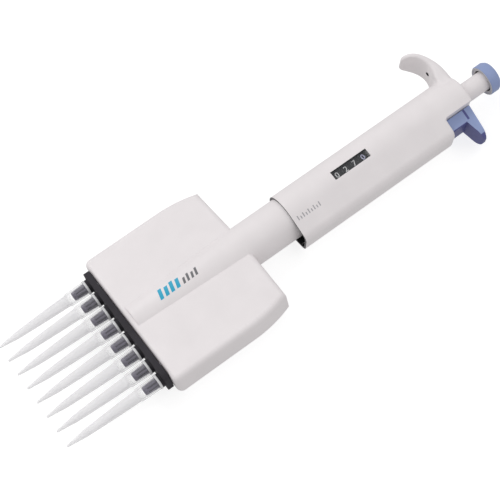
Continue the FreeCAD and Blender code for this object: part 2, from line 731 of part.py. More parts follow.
def make_bearings():
    """The fixed pieces that guide the neck, the plunger and the volume screw."""
    bush = tube("swivel_bush_ring", "neck_step + 0.3", "8.3", "handle_radius - handle_wall - 0.02",
                "journal_radius + 0.06")
    keep(bush, "swivel_bush", True)
    nut = tube("volume_nut_ring", "nut_start", "nut_length", "nut_radius", "thread_radius + 0.15")
    keys = box("nut_keys", "nut_start", "-2", "-10.9", "nut_length", "4", "21.8")
    core = cylinder("nut_core", "nut_start - 0.5", "nut_length + 1", "nut_radius - 0.3")
    keep(fuse("volume_nut_solid", nut, cut("nut_keys_cut", keys, core)), "volume_nut", True)
    guide = revolved("plunger_guide_body", [
        ("247.5", "sleeve_radius + 0.15"), ("handle_end + 0.5", "sleeve_radius + 0.15"),
        ("handle_end + 0.5", "6.0"), ("handle_end + 0.2", "guide_flange_radius"),
        ("247.5", "guide_flange_radius")])
    keep(guide, "plunger_guide", True)
    screw = revolved("volume_screw_body", [
        ("screw_start", "sleeve_radius + 0.2"), ("screw_end", "sleeve_radius + 0.2"),
        ("screw_end", "thread_radius + 0.25"), ("screw_end - 2", "thread_radius + 0.25"),
        ("screw_end - 2", "thread_radius"), ("screw_start", "thread_radius")])
    keep(screw, "volume_screw", True)
    plate = tube("stage_plate_ring", "stage_station", "1.6", "9.4", "rod_radius + 0.4")
    keep(plate, "stage_plate", True)


def coil(label, start, length, radius, wire, turns, y=0.0):
    """A compression spring along the long axis."""
    path = Part.makeHelix((length - wire) / turns, length - wire, radius)
    profile = Part.Wire(Part.makeCircle(wire / 2.0, vector(radius, 0, 0), vector(0, 1, 0)))
    solid = Part.Wire(path).makePipeShell([profile], True, True)
    solid.rotate(vector(), vector(0, 1, 0), 90)
    solid.translate(vector(start + wire / 2.0, y, 0))
    obj = doc.addObject("Part::Feature", label + "_coil")
    obj.Shape = solid
    keep(gather(label + "_group", [obj]), label, True)


def make_springs():
    """Return springs of the plunger's two stages and of the ejector."""
    for label, sizes in SPRINGS.items():
        coil(label, **sizes)


def make_plunger():
    """The rod, its collar and the clip that joins it to the pistons' shaft."""
    rod = revolved("plunger_rod_body", [
        ("rod_start", "0"), ("rod_start", "rod_radius"), ("rod_end", "rod_radius"), ("rod_end", "0")])
    keep(rod, "plunger_rod", True)
    collar = tube("collar_ring", "collar_start", "2.5", "6.5", "rod_radius + 0.03")
    keep(collar, "plunger_collar", True)
    clip = revolved("clip_body", [
        ("rod_start - 5", "shaft_radius + 0.2"), ("rod_start - 3.9", "shaft_radius + 0.2"),
        ("rod_start - 3.9", "shaft_flange + 0.2"), ("rod_start - 1.3", "shaft_flange + 0.2"),
        ("rod_start - 1.3", "0"), ("rod_start", "0"), ("rod_start", "5.2"), ("rod_start - 5", "5.2")])
    keep(clip, "coupling_clip", True)


def make_knob():
    """The sleeve that is seen above the handle, and the cap that the thumb presses and turns."""
    sleeve = tube("sleeve_tube", "sleeve_start", "cap_start + 1.2 - sleeve_start", "sleeve_radius",
                  "rod_radius + 0.1")
    keep(sleeve, "plunger_sleeve", True)
    top = "cap_start + cap_height"
    cap = revolved("cap_body", [
        ("cap_start + 1.2", "0"), ("cap_start + 1.2", "7.0"), ("cap_start", "7.0"),
        ("cap_start", "cap_radius - 0.3"), ("cap_start + 0.4", "cap_radius"),
        (top + " - 1.9", "cap_radius"), (top + " - 0.5", "cap_radius - 0.8"),
        (top, "cap_radius - 3.4"), (top, "0")])
    keep(cap, "plunger_cap", True)
    keep(tube("insert_ring", "cap_start + 0.2", "1.0", "6.98", "5.9"), "cap_insert", True)


def make_ejector_button():
    """The thumb pad and stem of the ejector, and the rod that it presses."""
    stem = box("stem_box", "stem_start", "-stem_top", "-stem_half_depth",
               "pad_start - stem_start + 1", "stem_top - notch_offset - 0.4", "stem_half_depth * 2")
    side, top = DIMENSIONS["stem_half_depth"], DIMENSIONS["stem_top"]
    stem = rounded("stem_soft", stem, 0.9,
                   lambda edge: lies_at(edge, 1, -top) and edge.BoundBox.XLength > 2)
    pad = padded("pad_body", "XY_Plane", [
        ("pad_start", "-(notch_offset + 0.35)"),
        ("pad_start + pad_thickness", "-(notch_offset + 0.35)"),
        ("pad_start + 0.4", "-pad_reach"), ("pad_start - 1.2", "-pad_reach"),
        ("pad_start - 3.2", "-(stem_top - 0.5)")],
        "stem_half_depth * 2", both_sides=True)
    reach = DIMENSIONS["pad_reach"]
    rounded_body(pad, "5", lambda edge: lies_at(edge, 1, -reach)
                 and (lies_at(edge, 2, side) or lies_at(edge, 2, -side)))
    keep(fuse("button_solid", stem, pad), "ejector_button", True)
    foot_start = "pipe_end + 0.2"
    rod = cylinder("eject_rod", foot_start, "stem_start - pipe_end - 0.2", "eject_rod_radius",
                   "-eject_rod_offset")
    foot = tube("eject_foot", foot_start, "2.0", "8.6", "5.6")
    arm = box("eject_arm", foot_start, "-eject_rod_offset", "-eject_rod_radius", "2.0",
              "eject_rod_offset - 6", "eject_rod_radius * 2")
    keep(fuse("eject_rod_solid", rod, foot, arm), "ejector_rod", True)


# ---------------------------------------------------------------- placing and export


def place_pieces():
    """Move every piece from the pipette's own axis to where it lies."""
    middle = "-(cap_start + cap_height) / 2"
    roll = "swivel_angle * 1 deg"
    turn = FreeCAD.Rotation(vector(1, 0, 0), DIMENSIONS["swivel_angle"])
    for obj, turned, side, lift in nodes.values():
        if turned:
            obj.Placement = FreeCAD.Placement(vector(), turn)
            bind(obj, **{"Placement.Rotation.Angle": roll})
            across = "(%s) * cos(%s) - (%s) * sin(%s)" % (side, roll, lift, roll)
            up = "(%s) * sin(%s) + (%s) * cos(%s)" % (side, roll, lift, roll)
            put(obj, middle, across, up + " + handle_radius")
        else:
            put(obj, middle, side, lift + " + handle_radius")
    doc.recompute()


def check_document():
    """Stop if any object failed or any piece is not a valid solid."""
    for obj in doc.Objects:
        if "Invalid" in obj.State or "Error" in obj.State:
            raise RuntimeError("failed object: %s (%s)" % (obj.Name, obj.Label))
    for label, (obj, *_) in nodes.items():
        shape = obj.Shape
        if shape.isNull() or not shape.isValid() or not shape.Solids:
            raise RuntimeError("bad shape: " + label)


def export_pieces():
    """Write one STEP file for each piece."""
    os.makedirs(EXPORT_FOLDER, exist_ok=True)
    for label, (obj, *_) in nodes.items():
        obj.Shape.exportStep(os.path.join(EXPORT_FOLDER, label + ".step"))


make_sheet()
make_tips()
make_cones()
make_head_shells()
make_block()
make_pistons()
make_ejector_bar()
make_handle_shells()
make_hook()
make_counter()
make_bearings()
make_springs()
make_plunger()
make_knob()
make_ejector_button()
doc.recompute()
place_pieces()
check_document()
export_pieces()
print(len(nodes), "pieces")
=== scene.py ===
"""Looks of the adjustable eight-channel micropipette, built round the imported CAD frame."""

import json
import math

import bmesh
import bpy
from mathutils import Matrix, Vector


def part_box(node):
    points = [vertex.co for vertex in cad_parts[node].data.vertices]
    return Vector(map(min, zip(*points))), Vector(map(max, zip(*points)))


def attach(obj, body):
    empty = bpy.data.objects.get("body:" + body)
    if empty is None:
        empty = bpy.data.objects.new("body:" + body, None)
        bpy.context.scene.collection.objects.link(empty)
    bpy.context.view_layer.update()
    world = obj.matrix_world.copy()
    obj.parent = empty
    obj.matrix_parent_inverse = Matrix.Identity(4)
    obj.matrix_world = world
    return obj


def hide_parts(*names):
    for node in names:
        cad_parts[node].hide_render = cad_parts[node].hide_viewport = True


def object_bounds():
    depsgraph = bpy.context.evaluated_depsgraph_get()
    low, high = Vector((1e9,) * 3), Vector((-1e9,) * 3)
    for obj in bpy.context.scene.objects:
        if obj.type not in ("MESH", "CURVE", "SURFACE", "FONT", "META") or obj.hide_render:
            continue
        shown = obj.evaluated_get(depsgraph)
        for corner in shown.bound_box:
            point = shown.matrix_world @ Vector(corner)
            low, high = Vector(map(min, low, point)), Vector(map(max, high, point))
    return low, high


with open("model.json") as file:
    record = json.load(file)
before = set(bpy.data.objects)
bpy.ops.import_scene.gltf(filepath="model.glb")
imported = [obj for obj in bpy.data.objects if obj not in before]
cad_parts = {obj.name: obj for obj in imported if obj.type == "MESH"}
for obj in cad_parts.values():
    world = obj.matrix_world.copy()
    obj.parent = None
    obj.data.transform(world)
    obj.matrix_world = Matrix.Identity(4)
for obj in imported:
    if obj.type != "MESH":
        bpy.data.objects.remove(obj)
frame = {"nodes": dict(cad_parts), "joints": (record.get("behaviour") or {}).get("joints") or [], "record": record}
cad_low, cad_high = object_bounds()

MM = 0.001
CHANNELS = 8
RINGS = 4

# ---------------------------------------------------------------- where things are

swivel = [joint for joint in frame["joints"] if joint["name"] == "head_swivel"][0]
AXIS_HEIGHT = swivel["pos_m"][2]
HANDLE_ROLL = math.radians(15.0)    # how far the handle is turned about the long axis
TIP_END = cad_low.x


def station(x):
    """Row-frame x of a place x millimetres from the tip ends."""
    return TIP_END + x * MM


def handle_point(x, side, lift):
    """A place in the handle's own turned frame, in millimetres, as a row-frame point."""
    turned = Matrix.Rotation(HANDLE_ROLL, 3, "X") @ Vector((0.0, side * MM, lift * MM))
    return Vector((station(x), turned.y, turned.z + AXIS_HEIGHT))


# ---------------------------------------------------------------- camera, floor and light

CAMERA_TARGET = Vector((-0.01485, -0.00215, 0.01116))
CAMERA_DISTANCE = 0.585
CAMERA_AZIMUTH = math.radians(-111.06)
CAMERA_ELEVATION = math.radians(58.26)
CAMERA_ROLL = math.radians(16.87)
CAMERA_LENS = 89.0
SKY_LIGHT = 0.69
GROUND_LIGHT = 0.6
FLOOR_REACH = 6.0
FLOOR_DROP = 0.0005


def make_camera():
    """The camera, aimed down at the object and rolled so that it lies across the picture."""
    level = math.cos(CAMERA_ELEVATION)
    back = Vector((level * math.cos(CAMERA_AZIMUTH), level * math.sin(CAMERA_AZIMUTH),
                   math.sin(CAMERA_ELEVATION)))
    right = (-back).cross(Vector((0.0, 0.0, 1.0))).normalized()
    up = right.cross(-back)
    leaning = up * math.cos(CAMERA_ROLL) + right * math.sin(CAMERA_ROLL)
    across = (-back).cross(leaning)
    data = bpy.data.cameras.new("camera")
    data.lens = CAMERA_LENS
    data.clip_start, data.clip_end = 0.01, 20.0
    camera = bpy.data.objects.new("camera", data)
    place = Matrix((across, leaning, back)).transposed().to_4x4()
    place.translation = CAMERA_TARGET + back * CAMERA_DISTANCE
    camera.matrix_world = place
    bpy.context.scene.collection.objects.link(camera)
    bpy.context.scene.camera = camera


def add_light(name, place, size, power):
    """A soft square light that faces the object."""
    data = bpy.data.lights.new(name, "AREA")
    data.size = size
    data.energy = power
    light = bpy.data.objects.new(name, data)
    light.location = place
    light.rotation_mode = "QUATERNION"
    light.rotation_quaternion = (CAMERA_TARGET - Vector(place)).to_track_quat("-Z", "Y")
    bpy.context.scene.collection.objects.link(light)


def make_studio():
    """A plain pale floor, a pale sky that is darker below, and two soft lights."""
    world = bpy.data.worlds.new("studio")
    world.use_nodes = True
    tree = world.node_tree
    sky = tree.nodes["Background"]
    sky.inputs["Color"].default_value = (1.0, 1.0, 1.0, 1.0)
    where = tree.nodes.new("ShaderNodeTexCoord")
    split = tree.nodes.new("ShaderNodeSeparateXYZ")
    dome = tree.nodes.new("ShaderNodeMapRange")
    dome.inputs["From Min"].default_value = -0.15
    dome.inputs["From Max"].default_value = 0.25
    dome.inputs["To Min"].default_value = GROUND_LIGHT
    dome.inputs["To Max"].default_value = SKY_LIGHT
    tree.links.new(where.outputs["Generated"], split.inputs["Vector"])
    tree.links.new(split.outputs["Z"], dome.inputs["Value"])
    tree.links.new(dome.outputs["Result"], sky.inputs["Strength"])
    bpy.context.scene.world = world
    mesh = bpy.data.meshes.new("floor")
    corners = [(-FLOOR_REACH, -FLOOR_REACH, 0.0), (FLOOR_REACH, -FLOOR_REACH, 0.0),
               (FLOOR_REACH, FLOOR_REACH, 0.0), (-FLOOR_REACH, FLOOR_REACH, 0.0)]
    mesh.from_pydata(corners, [], [(0, 1, 2, 3)])
    floor = bpy.data.objects.new("floor", mesh)
    floor.location.z = -FLOOR_DROP
    floor.visible_diffuse = False    # the dome's darker half stands in for the light it sends up
    floor.visible_glossy = False
    bpy.context.scene.collection.objects.link(floor)
    paper = bpy.data.materials.new("floor_paper")
    paper.use_nodes = True
    shader = paper.node_tree.nodes["Principled BSDF"]
    shader.inputs["Base Color"].default_value = (0.42, 0.42, 0.42, 1.0)
    shader.inputs["Roughness"].default_value = 0.9
    shader.inputs["Emission Color"].default_value = (1.0, 1.0, 1.0, 1.0)
    shader.inputs["Emission Strength"].default_value = 0.72
    mesh.materials.append(paper)
    add_light("key", (-0.35, 0.75, 0.95), 0.7, 4.6)
    add_light("fill", (0.5, -0.7, 1.1), 1.2, 2.0)
    view = bpy.context.scene.view_settings
    view.view_transform = "Standard"
    view.look = "None"


# ---------------------------------------------------------------- materials


CLOUD_SIZE = 0.012    # metres, of the slow mottling in the colour
GRAIN_SIZE = 0.00035    # and of the fine grain


def moulded(name, colour, roughness, grain=0.12, mottle=0.02, alpha=1.0, metallic=0.0):
    """A moulded or turned surface: fine grain in the bump, soft mottling in colour and gloss."""
    material = bpy.data.materials.new(name)
    material.use_nodes = True
    tree = material.node_tree
    shader = tree.nodes["Principled BSDF"]
    place = tree.nodes.new("ShaderNodeTexCoord")

    def noise(size, detail):
        node = tree.nodes.new("ShaderNodeTexNoise")
        node.inputs["Scale"].default_value = 1.0 / size
        node.inputs["Detail"].default_value = detail
        tree.links.new(place.outputs["Object"], node.inputs["Vector"])
        return node

    cloud = noise(CLOUD_SIZE, 3.0)
    speck = noise(GRAIN_SIZE * 4.0, 2.0)
    ramp = tree.nodes.new("ShaderNodeValToRGB")
    low = [max(0.0, value * (1.0 - mottle)) for value in colour]
    high = [min(1.0, value * (1.0 + mottle)) for value in colour]
    ramp.color_ramp.elements[0].position = 0.3
    ramp.color_ramp.elements[0].color = (*low, 1.0)
    ramp.color_ramp.elements[1].position = 0.7
    ramp.color_ramp.elements[1].color = (*high, 1.0)
    tree.links.new(cloud.outputs["Fac"], ramp.inputs["Fac"])
    tree.links.new(ramp.outputs["Color"], shader.inputs["Base Color"])
    gloss = tree.nodes.new("ShaderNodeMapRange")
    gloss.inputs["From Min"].default_value = 0.3
    gloss.inputs["From Max"].default_value = 0.7
    gloss.inputs["To Min"].default_value = roughness - 0.04
    gloss.inputs["To Max"].default_value = roughness + 0.05
    tree.links.new(speck.outputs["Fac"], gloss.inputs["Value"])
    tree.links.new(gloss.outputs["Result"], shader.inputs["Roughness"])
    pebble = noise(GRAIN_SIZE, 2.0)
    bump = tree.nodes.new("ShaderNodeBump")
    bump.inputs["Strength"].default_value = grain
    bump.inputs["Distance"].default_value = GRAIN_SIZE * 0.3
    tree.links.new(pebble.outputs["Fac"], bump.inputs["Height"])
    tree.links.new(bump.outputs["Normal"], shader.inputs["Normal"])
    shader.inputs["Metallic"].default_value = metallic
    shader.inputs["Alpha"].default_value = alpha
    return material


materials = {
    "housing": moulded("housing_satin", (0.815, 0.773, 0.782), 0.42),
    "blue": moulded("blue_satin", (0.265, 0.33, 0.555), 0.38, mottle=0.04),
    "bar": moulded("bar_matt", (0.034, 0.031, 0.037), 0.55, grain=0.2, mottle=0.15),
    "cone": moulded("cone_satin", (0.035, 0.032, 0.05), 0.4, mottle=0.12),
    "tip": moulded("tip_milky", (0.95, 0.94, 0.955), 0.35, alpha=0.5, mottle=0.02, grain=0.05),
    "lens": moulded("lens_clear", (0.9, 0.92, 0.95), 0.12, alpha=0.04, grain=0.02),
    "wheel": moulded("wheel_matt", (0.006, 0.006, 0.009), 0.5, mottle=0.2),
    "inner": moulded("inner_matt", (0.72, 0.71, 0.70), 0.5, mottle=0.03),
    "steel": moulded("steel_turned", (0.62, 0.62, 0.64), 0.28, metallic=1.0, mottle=0.05),
    "spring": moulded("spring_wire", (0.5, 0.5, 0.52), 0.3, metallic=1.0, mottle=0.08),
    "seal": moulded("seal_rubber", (0.02, 0.02, 0.022), 0.7, mottle=0.2),
    "tip_rim": moulded("tip_rim_milky", (0.84, 0.84, 0.85), 0.35, alpha=0.85),
    "cone_rib": moulded("cone_rib_satin", (0.12, 0.108, 0.155), 0.4, mottle=0.1),
    "print_white": moulded("print_white", (0.85, 0.85, 0.86), 0.5, mottle=0.05),
    "print_pale": moulded("print_pale_violet", (0.62, 0.62, 0.85), 0.5, mottle=0.05),
    "print_cyan": moulded("print_cyan", (0.02, 0.38, 0.58), 0.45, mottle=0.06),
    "print_grey": moulded("print_grey", (0.16, 0.16, 0.17), 0.45, mottle=0.06),
    "print_soft": moulded("print_soft_grey", (0.38, 0.37, 0.39), 0.5, mottle=0.08),
    "shade": moulded("shaded_inside", (0.012, 0.012, 0.013), 0.75, mottle=0.2),
    "rim_shade": moulded("rim_shade_grey", (0.13, 0.125, 0.13), 0.6, mottle=0.1),
    # painted shade: a darker blue for the ejector's faces that turn away from the light
    "painted_shade_blue": moulded("painted_shade_blue_satin", (0.075, 0.08, 0.25), 0.42, mottle=0.08),
    "lip": moulded("lip_grey", (0.47, 0.46, 0.48), 0.45, mottle=0.06),
}
for dull in ("shade", "wheel", "bar"):
    shader = materials[dull].node_tree.nodes["Principled BSDF"]
    shader.inputs["Specular IOR Level"].default_value = 0.15
slot_of = {part["node"]: part["material_slot"] for part in frame["record"]["subparts"]}


BODY_ALPHA = 0.34
COLLAR_ALPHA = 0.04
EDGE_ALPHA = 0.45
TIP_COLLAR = 38.2    # station where the tips widen into their collars


def clear_collar(material):
    """Let the tips' collars be clearer than their points, and all of them whiter at the edges."""
    tree = material.node_tree
    place = tree.nodes.new("ShaderNodeTexCoord")
    split = tree.nodes.new("ShaderNodeSeparateXYZ")
    tree.links.new(place.outputs["Object"], split.inputs["Vector"])
    fade = tree.nodes.new("ShaderNodeMapRange")
    fade.inputs["From Min"].default_value = station(TIP_COLLAR - 1.0)
    fade.inputs["From Max"].default_value = station(TIP_COLLAR + 3.0)
    fade.inputs["To Min"].default_value = BODY_ALPHA
    fade.inputs["To Max"].default_value = COLLAR_ALPHA
    tree.links.new(split.outputs["X"], fade.inputs["Value"])
    rim = tree.nodes.new("ShaderNodeLayerWeight")
    rim.inputs["Blend"].default_value = 0.25
    edge = tree.nodes.new("ShaderNodeMath")
    edge.operation = "MULTIPLY_ADD"
    edge.inputs[1].default_value = EDGE_ALPHA
    tree.links.new(rim.outputs["Facing"], edge.inputs[0])
    tree.links.new(fade.outputs["Result"], edge.inputs[2])
    tree.links.new(edge.outputs["Value"], tree.nodes["Principled BSDF"].inputs["Alpha"])


def paint_faces(name, finish, chosen):
    """Give the faces of a CAD node that a test picks a finish of their own."""
    mesh = frame["nodes"][name].data
    mesh.materials.append(finish)
    number = len(mesh.materials) - 1
    for face in mesh.polygons:
        if chosen(face.center, face.normal):
            face.material_index = number


def from_axis(place):
    """How far a row-frame point is from the long axis, in millimetres."""
    return math.hypot(place.y, place.z - AXIS_HEIGHT) / MM


def dress_nodes():
    """Give every CAD node that stays its slot's finish, and its shaded faces a darker one as painted shade."""
    for name, node in frame["nodes"].items():
        node.data.materials.clear()
        node.data.materials.append(materials[slot_of[name]])

    def inside_handle(place, normal):
        inward = normal.y * place.y + normal.z * (place.z - AXIS_HEIGHT) < 0.0
        return inward and place.x < station(200.0) and abs(normal.x) < 0.7

    for name in ("handle_front_shell", "handle_rear_shell"):
        paint_faces(name, materials["shade"], inside_handle)
        paint_faces(name, materials["rim_shade"],
                    lambda place, normal: normal.x < -0.9 and place.x < station(145.0))
    paint_faces("swivel_bush", materials["shade"], lambda place, normal: True)
    # painted shade in a darker blue on the pad's underside and the stem's lower side
    paint_faces("ejector_button", materials["painted_shade_blue"],
                lambda place, normal: (normal.x < -0.2 and place.x > station(240.0))
                or (normal.y < -0.7 and place.x < station(247.0)))
    paint_faces("plunger_cap", materials["lip"], lambda place, normal: normal.x < -0.7)
    paint_faces("plunger_cap", materials["shade"],
                lambda place, normal: normal.x < -0.7 and from_axis(place) < 6.5)
    paint_faces("cap_insert", materials["lip"], lambda place, normal: True)


# ---------------------------------------------------------------- mesh tools


def straight_point(x, side, lift):
    """A place in the head's frame, in millimetres, as a row-frame point."""
    return Vector((station(x), side * MM, lift * MM + AXIS_HEIGHT))


def add_piece(name, mesh, body, finishes, stands_for=(), smooth=40.0):
    """A shown piece that rides on a body, with its finishes and its creases kept sharp."""
    piece = bpy.data.objects.new(name, mesh)
    bpy.context.scene.collection.objects.link(piece)
    for finish in finishes:
        mesh.materials.append(finish)
    mesh.set_sharp_from_angle(angle=math.radians(smooth))
    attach(piece, body)
    if stands_for:
        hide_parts(*stands_for)
    return piece


def mesh_from(name, points, faces, marks=None):
    """A clean mesh, its faces turned outwards; marks gives each face's material number."""
    mesh = bpy.data.meshes.new(name)
    mesh.from_pydata([tuple(point) for point in points], [], faces)
    for number, face in enumerate(mesh.polygons):
        face.use_smooth = True
        face.material_index = marks[number] if marks else 0
    work = bmesh.new()
    work.from_mesh(mesh)
    bmesh.ops.remove_doubles(work, verts=work.verts, dist=1e-7)
    bmesh.ops.recalc_face_normals(work, faces=work.faces)
    work.to_mesh(mesh)
    work.free()
    return mesh


def lathe(name, profile, place, steps=64, shape=None, mark=None):
    """A closed profile of (station, radius) turned about an axis that place() sets.

    shape(x, radius, angle) may change the radius, and mark(x, radius, angle) picks a material."""
    points, faces, marks = [], [], []
    count = len(profile)
    for step in range(steps):
        angle = math.tau * step / steps
        for x, radius in profile:
            size = shape(x, radius, angle) if shape else radius
            points.append(place(x, size * math.sin(angle), size * math.cos(angle)))
    for step in range(steps):
        after = (step + 1) % steps
        middle = math.tau * (step + 0.5) / steps
        for here in range(count):
            there = (here + 1) % count
            if profile[here][1] == 0.0 and profile[there][1] == 0.0:
                continue
            corners = [step * count + here, step * count + there,
                       after * count + there, after * count + here]
            if profile[here][1] == 0.0:
                corners = corners[:3]
            elif profile[there][1] == 0.0:
                corners = [corners[0], corners[1], corners[3]]
            faces.append(corners)
            x = (profile[here][0] + profile[there][0]) / 2.0
            radius = (profile[here][1] + profile[there][1]) / 2.0
            marks.append(mark(x, radius, middle) if mark else 0)
    return mesh_from(name, points, faces, marks)


def channel_side(number):
    """Where a channel lies across the head, in millimetres, from its tip's box."""
    low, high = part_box("tip_%d" % number)
    return (low.y + high.y) / 2.0 / MM


# ---------------------------------------------------------------- tips and cones

TIP_RIM = 48.5
CONE_START = 41.4
CONE_NECK = 49.2
CONE_BORE = 0.9
FLUTE_START = 42.9
FLUTE_END = 48.8
FLUTE_DEPTH = 0.42
FLUTES = 8


def make_tips():
    """Thin milky tips: a long taper, a step, a wide collar and a thicker rim."""
    outer = [(0.0, 0.55), (0.25, 0.6), (4.0, 1.05), (9.8, 1.75), (18.0, 2.16), (28.0, 2.6),
             (37.8, 2.88), (TIP_COLLAR, 2.92), (TIP_COLLAR + 0.35, 3.3), (TIP_COLLAR + 0.7, 3.38),
             (44.0, 3.48), (48.4, 3.56), (48.6, 3.68), (48.8, 3.72), (49.5, 3.72), (49.7, 3.66)]
    inner = [(49.7, 3.0), (49.4, 2.94), (44.0, 2.86), (TIP_COLLAR + 0.4, 2.6), (TIP_COLLAR, 2.46),
             (28.0, 2.18), (9.8, 1.33), (4.0, 0.68), (0.0, 0.3)]
    for number in range(1, CHANNELS + 1):
        side = channel_side(number)
        mesh = lathe("tip_body_%d" % number, outer + inner,
                     lambda x, y, z: straight_point(x, side + y, z), 48,
                     mark=lambda x, radius, angle: 1 if x > TIP_RIM and radius > 3.0 else 0)
        add_piece("tip_body_%d" % number, mesh, "tips",
                  [materials["tip"], materials["tip_rim"]], ["tip_%d" % number])


def make_cones():
    """Nozzles with lengthwise ribs where the tips grip them, the valleys between the ribs painted darker as
    painted shade.
    """
    profile = [(CONE_START, CONE_BORE), (CONE_START, 1.9), (CONE_START + 0.3, 2.15), (42.4, 2.3),
               (43.2, 2.38), (46.6, 2.58), (48.6, 2.7), (CONE_NECK, 2.72), (49.5, 2.3),
               (56.95, 2.3), (56.95, 4.2), (59.25, 4.2), (59.25, 2.55), (63.7, 2.55),
               (63.7, CONE_BORE)]

    def fluted(x, radius):
        return FLUTE_START < x < FLUTE_END and radius > CONE_BORE

    def flute(x, radius, angle):
        if not fluted(x, radius):
            return radius
        return radius - FLUTE_DEPTH * (0.5 - 0.5 * math.cos(FLUTES * angle)) ** 0.6

    # painted shade: the valleys between the ribs take the darker finish
    def groove(x, radius, angle):
        return 1 if fluted(x, radius) and math.cos(FLUTES * angle) < 0.1 else 0

    for number in range(1, CHANNELS + 1):
        side = channel_side(number)
        mesh = lathe("nozzle_%d" % number, profile,
                     lambda x, y, z: straight_point(x, side + y, z), 96, flute, groove)
        add_piece("nozzle_%d" % number, mesh, "head",
                  [materials["cone_rib"], materials["cone"]], ["tip_cone_%d" % number])


# ---------------------------------------------------------------- volume display

RING_FIRST = 172.2
RING_PITCH = 5.15
RING_WIDTH = 4.9
RING_RADIUS = 10.2
RING_BORE = 8.9
RING_CHAMFER = 0.2
SHOWN_DIGITS = (0, 2, 7, 0)
DIGIT_HEIGHT = 3.0
DIGIT_RAISE = 0.35    # how far the shown digits stand above the handle's middle line
DIGIT_SLICES = 12


def make_digit(text, height):
    """One digit as a flat mesh in slices that can be bent, its middle at the origin."""
    curve = bpy.data.curves.new("digit_" + text, "FONT")
    curve.body = text
    curve.size = height * 1.38
    curve.resolution_u = 4
    writer = bpy.data.objects.new("digit_writer", curve)
    bpy.context.scene.collection.objects.link(writer)
    bpy.context.view_layer.update()
    flat = bpy.data.meshes.new_from_object(writer.evaluated_get(
        bpy.context.evaluated_depsgraph_get()))
    bpy.data.objects.remove(writer)
    sliced = bmesh.new()
    sliced.from_mesh(flat)
    for level in range(1, DIGIT_SLICES):
        bmesh.ops.bisect_plane(sliced, geom=sliced.verts[:] + sliced.edges[:] + sliced.faces[:],
                               plane_co=(0.0, height * level / DIGIT_SLICES, 0.0),
                               plane_no=(0.0, 1.0, 0.0))
    sliced.to_mesh(flat)
    sliced.free()
    spots = [vertex.co.copy() for vertex in flat.vertices]
    low = Vector((min(spot.x for spot in spots), min(spot.y for spot in spots), 0))
    high = Vector((max(spot.x for spot in spots), max(spot.y for spot in spots), 0))
    middle = (low + high) / 2.0
    return [spot - middle for spot in spots], [tuple(face.vertices) for face in flat.polygons]


def make_rings():
    """Number rings with chamfered rims and ten printed digits each."""
    window_angle = DIGIT_RAISE / RING_RADIUS
    for number in range(1, RINGS + 1):
        start = RING_FIRST + RING_PITCH * (number - 1)
        end = start + RING_WIDTH
        rim = RING_RADIUS - 0.03
        shoulder = RING_RADIUS - RING_CHAMFER
        profile = [(start, RING_BORE), (start, shoulder), (start + RING_CHAMFER, rim),
                   (end - RING_CHAMFER, rim), (end, shoulder), (end, RING_BORE)]
        mesh = lathe("dial_%d" % number, profile, handle_point, 120)
        body = "ring_%d" % number
        add_piece("dial_%d" % number, mesh, body, [materials["wheel"]],
                  ["number_ring_%d" % number])
        points, faces = [], []
        for digit in range(10):
            spots, sides = make_digit(str(digit), DIGIT_HEIGHT)
            turn = window_angle + math.radians(36.0) * (digit - SHOWN_DIGITS[number - 1])
            base = len(points)
            for spot in spots:
                angle = turn + spot.y / RING_RADIUS
                points.append(handle_point(start + RING_WIDTH / 2.0 + spot.x,
                                           RING_RADIUS * math.sin(angle),
                                           RING_RADIUS * math.cos(angle)))
            faces += [tuple(base + corner for corner in side) for side in sides]
        digits = mesh_from("dial_digits_%d" % number, points, faces)
        add_piece("dial_digits_%d" % number, digits, body,
                  [materials["print_pale"] if number == RINGS else materials["print_white"]])


# ---------------------------------------------------------------- finger hook

HOOK_INNER = (234.5, 19.6, 12.2)    # station, side and radius of the underside's curve
HOOK_OUTER = (227.5, 13.1, 24.1)    # and of the back's
HOOK_PIVOT = (236.0, 16.0)
HOOK_HALF_WIDTH = 9.0
HOOK_TIP_ANGLE = 78.5    # degrees round the pivot from where the hook leaves the handle
HOOK_TIP_DROP = 1.3    # how far the back bends in towards the tip
HOOK_DROP_LENGTH = 8.0
HOOK_TIP_THINNING = 1.5    # lengths over which the tip is rounded off in thickness and width
HOOK_TIP_NARROWING = 8.5
HOOK_TIP_LOSS = 5.8    # half width lost at the very tip
HOOK_ROOT_FILLET = 3.4
HOOK_CORNER = 1.7
HOOK_STEPS = 34
ROOT_STEPS = 8
HOLE_RADIUS = 1.15
HOLE_SIDE = 19.1
HANDLE_RADIUS = 12.4
HANDLE_END = 251.3


def along_ray(circle, angle):
    """How far a ray from the hook's pivot runs before it meets a circle."""
    x, y = HOOK_PIVOT[0] - circle[0], HOOK_PIVOT[1] - circle[1]
    half = x * math.cos(angle) + y * math.sin(angle)
    return -half + math.sqrt(half * half - (x * x + y * y - circle[2] ** 2))


def across_at(circle, y):
    """The station where a circle passes a height beside the handle."""
    return circle[0] + math.sqrt(circle[2] ** 2 - (y - circle[1]) ** 2)


def rounded_off(from_tip, length):
    """A quarter circle's rise from 0 at the tip to 1 at a length from it."""
    return math.sqrt(max(0.0, 1.0 - (1.0 - min(1.0, from_tip / length)) ** 2))


